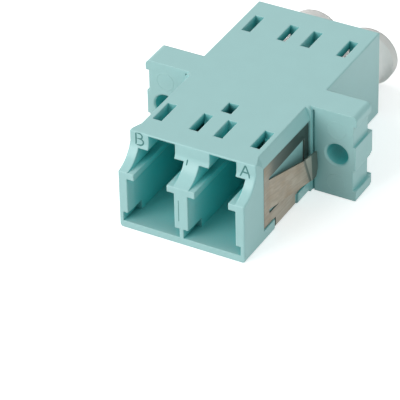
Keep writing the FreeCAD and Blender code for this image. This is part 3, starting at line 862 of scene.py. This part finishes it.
def stroke(path, width, height, face):
    """A low ridge along a path in X and Z on a face whose Y is a function of Z.

    The point at path step u and crosswise step v is path(u) + width/2 cos(v) n(u), raised out of the
    face by height sin(v), where n is the path's sideways direction. The ends draw in to a point.
    """
    path = np.array(path, float)
    along = np.gradient(path, axis=0)
    along /= np.linalg.norm(along, axis=1)[:, None]
    side = np.stack([-along[:, 1], along[:, 0]], axis=1)
    v = np.linspace(0, np.pi, RIDGE_STEPS)
    reach = np.concatenate([[0], np.cumsum(np.linalg.norm(np.diff(path, axis=0), axis=1))])
    from_end = np.minimum(reach, reach[-1] - reach)
    swell = np.sqrt(np.clip(from_end / (width / 2), 0, 1))[:, None]
    offset = width / 2 * np.cos(v)[None, :] * swell
    x = path[:, 0][:, None] + side[:, 0][:, None] * offset
    z = path[:, 1][:, None] + side[:, 1][:, None] * offset
    y = face(z) - height * np.sin(v)[None, :] * swell
    return np.stack([x, y, z], axis=-1)


def line(start, end, count=24):
    """Points along a straight line, close together near its ends."""
    t = 0.5 - 0.5 * np.cos(np.linspace(0, np.pi, count))
    return np.array(start)[None] + (np.array(end) - np.array(start))[None] * t[:, None]


def bow(centre, radii, start, end, count=28):
    """Points along an arc of an ellipse between two angles."""
    angle = np.radians(np.linspace(start, end, count))
    return np.array(centre) + np.column_stack([radii[0] * np.cos(angle), radii[1] * np.sin(angle)])


def front_face(z):
    """Y of the housing's front at a height: the set-back face, and the hollow curve under it.

    The curve is the circle through its top, middle and foot, which lies behind its own centre.
    """
    (y1, z1), (y2, z2), (y3, z3) = HOLLOW
    chords = 2 * np.array([[y2 - y1, z2 - z1], [y3 - y1, z3 - z1]])
    squares = np.array([y2 ** 2 - y1 ** 2 + z2 ** 2 - z1 ** 2, y3 ** 2 - y1 ** 2 + z3 ** 2 - z1 ** 2])
    middle_y, middle_z = np.linalg.solve(chords, squares)
    radius = math.hypot(y1 - middle_y, z1 - middle_z)
    height = z - HOUSING_LOW.z
    curve = middle_y + np.sqrt(np.maximum(radius ** 2 - (height - middle_z) ** 2, 0))
    return HOUSING_LOW.y + np.where(height > z1, y1, curve)


def lip_face(z):
    """Y of the front edge of the ports' walls."""
    return HOUSING_LOW.y + 0 * z


def draw_strokes(name, paths, face, size, material):
    """One mesh of several strokes of one width and height, riding on the adapter."""
    points = []
    faces = []
    count = 0
    for path in paths:
        ridge = stroke(path, *size, face)
        faces.append(grid_faces(*ridge.shape[:2], closed_columns=True) + count)
        points.append(ridge.reshape(-1, 3))
        count += ridge.shape[0] * ridge.shape[1]
    piece = make_piece(name, np.concatenate(points), np.concatenate(faces), material)
    weld(piece, MARK_WELD)
    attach(piece, "adapter")
    return piece


class ADAPTER_OT_mark_ports(bpy.types.Operator):
    """Puts the two port letters over the front ports, and two short mould lines between them."""

    bl_idname = "adapter.mark_ports"
    bl_label = "Mark the Ports"

    # X and height above the underside: of each letter's foot, and of each mould line's two ends
    letter_a_place = (5.4 * MM, 7.76 * MM)
    letter_b_place = (-5.79 * MM, 7.88 * MM)
    tick_x = -0.44 * MM
    tick_heights = (7.35 * MM, 7.85 * MM)
    seam_x = -0.25 * MM
    seam_heights = (2.5 * MM, 4.8 * MM)

    def execute(self, context):
        settings = context.scene.adapter_mark
        # The strokes take painted shade, which stands in for the shadow in engraved lines.
        material = groove_shade_plastic(settings)
        size = (settings.stroke_width, settings.stroke_height)
        thin = (settings.line_width, settings.stroke_height / 2)
        for name, letter, (x, foot) in (("a", self.letter_a, self.letter_a_place),
                                        ("b", self.letter_b, self.letter_b_place)):
            paths = letter(x, HOUSING_LOW.z + foot, settings.letter_height)
            draw_strokes("port_mark_" + name, paths, front_face, size, material)
        tick = [(self.tick_x, HOUSING_LOW.z + height) for height in self.tick_heights]
        seam = [(self.seam_x, HOUSING_LOW.z + height) for height in self.seam_heights]
        draw_strokes("mould_line_upper", [line(*tick)], front_face, size, material)
        draw_strokes("mould_line_lower", [line(*seam)], lip_face, thin, material)
        return {"FINISHED"}

    @staticmethod
    def letter_a(x, foot, h):
        """Two legs from the apex and a bar between them, in parts of the letter's height."""
        apex = (x, foot + h)
        return [
            line(apex, (x - 0.42 * h, foot)),
            line(apex, (x + 0.38 * h, foot)),
            line((x - 0.27 * h, foot + 0.36 * h), (x + 0.24 * h, foot + 0.36 * h)),
        ]

    @staticmethod
    def letter_b(x, foot, h):
        """A stem and two bows, each of a short flat, half an ellipse and a flat back to the stem.

        A bow's low end, high end, flat and reach are in parts of the letter's height.
        """
        strokes = [line((x, foot), (x, foot + h))]
        for low, high, flat, reach in ((0.53, 1.0, 0.3, 0.24), (0.0, 0.53, 0.34, 0.3)):
            middle = (x + flat * h, foot + (low + high) / 2 * h)
            half = bow(middle, (reach * h, (high - low) / 2 * h), 90, -90)
            strokes.append(np.concatenate([[(x, foot + high * h)], half, [(x, foot + low * h)]]))
        return strokes


class ADAPTER_OT_mark_ejectors(bpy.types.Operator):
    """Leaves the faint rings of the mould's ejector pins on the front of the flange.

    The ring's section is half an ellipse, radius + width/2 cos(v) across and rise sin(v) high, whose
    ends go down into the flange as far as root.
    """

    bl_idname = "adapter.mark_ejectors"
    bl_label = "Mark the Ejector Pins"

    pin_x = 8.95 * MM
    pin_heights = (7.3 * MM, 1.45 * MM)
    root = 0.2 * MM

    def execute(self, context):
        settings = context.scene.adapter_mark
        material = bpy.data.materials["moulded_plastic"]
        v = np.linspace(0, np.pi, RIDGE_STEPS)
        radius = settings.ejector_radius + settings.ejector_width / 2 * np.cos(v)
        section = np.column_stack([radius, -settings.ejector_rise * np.sin(v)])
        profile = np.concatenate([section, [(radius[-1], self.root), (radius[0], self.root)]])
        for x, side in ((self.pin_x, "a"), (-self.pin_x, "b")):
            for height, level in zip(self.pin_heights, ("upper", "lower")):
                points = turned(profile, (x, HOUSING_LOW.z + height), segments=48)
                faces = grid_faces(*points.shape[:2], closed_rows=True, closed_columns=True)
                piece = make_piece("ejector_mark_" + level + "_" + side, points, faces, material)
                weld(piece, MARK_WELD)
                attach(piece, "adapter")
        return {"FINISHED"}


def direction(azimuth, elevation):
    """The unit vector from the adapter at an azimuth, 0 in front and growing to the right."""
    level = math.cos(elevation)
    return Vector((math.sin(azimuth) * level, -math.cos(azimuth) * level, math.sin(elevation)))


class ADAPTER_OT_set_stage(bpy.types.Operator):
    """Adds the floor, the sky, the lamps and the camera."""

    bl_idname = "adapter.set_stage"
    bl_label = "Set the Stage"

    # name, azimuth and elevation in degrees, distance and side in metres, power in watts, colour
    lamps = (
        ("front_lamp", -31, 29, 0.7, 0.45, 3.05, WHITE),
        ("left_lamp", -95, 40, 0.7, 0.5, 1.8, WHITE),
        ("right_lamp", 80, 25, 0.7, 0.5, 1.0, (0.6, 1.0, 1.0)),
    )

    def execute(self, context):
        settings = context.scene.adapter_stage
        context.scene.view_settings.view_transform = "Standard"
        self.add_floor(settings)
        self.add_sky(context.scene, settings)
        for lamp in self.lamps:
            self.add_lamp(*lamp)
        self.add_camera(context.scene, settings)
        return {"FINISHED"}

    @staticmethod
    def add_floor(settings):
        """A plain pale floor that shows white where it is lit, and keeps the shadow."""
        paint = Paint(bpy.data.materials.new("pale_floor"))
        shader = paint.node("ShaderNodeBsdfPrincipled", None, {
            "Base Color": rgba(settings.floor_colour),
            "Roughness": 1.0,
            "Specular IOR Level": 0.0,
            "Emission Color": paint.blend(paint.seen(), BLACK, WHITE),
            "Emission Strength": settings.floor_lift,
        })
        half = settings.floor_half
        corners = np.array([(-half, -half), (half, -half), (half, half), (-half, half)])
        points = np.column_stack([corners, np.full(4, CAD_BOX[0][2] - settings.floor_drop)])
        faces = np.array([[0, 1, 2, 3]])
        floor = make_piece("floor", points, faces, paint.finish(shader), smooth=False)

    @staticmethod
    def add_sky(scene, settings):
        """Even light from all round, and plain white where it is seen or mirrored."""
        world = bpy.data.worlds.new("sky")
        scene.world = world
        paint = Paint(world)
        light, shown = [
            paint.node("ShaderNodeBackground", None, {"Color": rgba(WHITE), "Strength": strength})
            for strength in (settings.sky, 1.0)
        ]
        both = paint.node("ShaderNodeMixShader", None, {0: paint.seen(), 1: light, 2: shown})
        paint.node("ShaderNodeOutputWorld", None, {"Surface": both})

    @staticmethod
    def add_lamp(name, azimuth, elevation, distance, size, power, colour):
        """A square soft lamp that faces the adapter."""
        towards = direction(math.radians(azimuth), math.radians(elevation))
        lamp = bpy.data.lights.new(name, "AREA")
        lamp.size = size
        lamp.energy = power
        lamp.color = colour
        holder = bpy.data.objects.new(name, lamp)
        holder.location = towards * distance
        holder.rotation_euler = towards.to_track_quat("Z", "Y").to_euler()
        bpy.context.scene.collection.objects.link(holder)

    @staticmethod
    def add_camera(scene, s):
        """A long lens that looks down over the front corner of port A."""
        back = direction(s.azimuth, s.elevation)
        right = Vector((math.cos(s.azimuth), math.sin(s.azimuth), 0))
        up = back.cross(right)
        rolled_right = right * math.cos(s.roll) + up * math.sin(s.roll)
        rolled_up = up * math.cos(s.roll) - right * math.sin(s.roll)
        turn = Matrix((rolled_right, rolled_up, back)).transposed().to_4x4()
        data = bpy.data.cameras.new("camera")
        data.sensor_width = 36
        data.lens = s.lens
        data.clip_start = 0.01
        camera = bpy.data.objects.new("camera", data)
        camera.matrix_world = Matrix.Translation(Vector(s.target) + back * s.distance) @ turn
        scene.collection.objects.link(camera)
        scene.camera = camera


# ---- The add-on ----

STEPS = (
    ADAPTER_OT_dress_plastic, ADAPTER_OT_dress_clip, ADAPTER_OT_dress_sleeves, ADAPTER_OT_turn_plugs,
    ADAPTER_OT_mark_ports, ADAPTER_OT_mark_ejectors, ADAPTER_OT_set_stage,
)
SETTINGS = {
    "adapter_plastic": PlasticSettings,
    "adapter_steel": SteelSettings,
    "adapter_sleeve": SleeveSettings,
    "adapter_plug": PlugSettings,
    "adapter_mark": MarkSettings,
    "adapter_stage": StageSettings,
}


class VIEW3D_PT_adapter(bpy.types.Panel):
    """Lists the steps that build the adapter's looks."""

    bl_label = "Duplex Fibre Adapter"
    bl_idname = "VIEW3D_PT_adapter"
    bl_space_type = "VIEW_3D"
    bl_region_type = "UI"
    bl_category = "Adapter"

    def draw(self, context):
        for step in STEPS:
            self.layout.operator(step.bl_idname)
        for name in SETTINGS:
            group = getattr(context.scene, name)
            box = self.layout.box()
            for key in group.bl_rna.properties.keys():
                if key not in ("rna_type", "name"):
                    box.prop(group, key)


def register():
    for cls in (*SETTINGS.values(), *STEPS, VIEW3D_PT_adapter):
        bpy.utils.register_class(cls)
    for name, cls in SETTINGS.items():
        setattr(bpy.types.Scene, name, bpy.props.PointerProperty(type=cls))


def unregister():
    for name in SETTINGS:
        delattr(bpy.types.Scene, name)
    for cls in (VIEW3D_PT_adapter, *reversed(STEPS), *reversed(SETTINGS.values())):
        bpy.utils.unregister_class(cls)


def main():
    register()
    bpy.ops.adapter.dress_plastic()
    bpy.ops.adapter.dress_clip()
    bpy.ops.adapter.dress_sleeves()
    bpy.ops.adapter.turn_plugs()
    bpy.ops.adapter.mark_ports()
    bpy.ops.adapter.mark_ejectors()
    bpy.ops.adapter.set_stage()


if __name__ == "__main__":
    main()
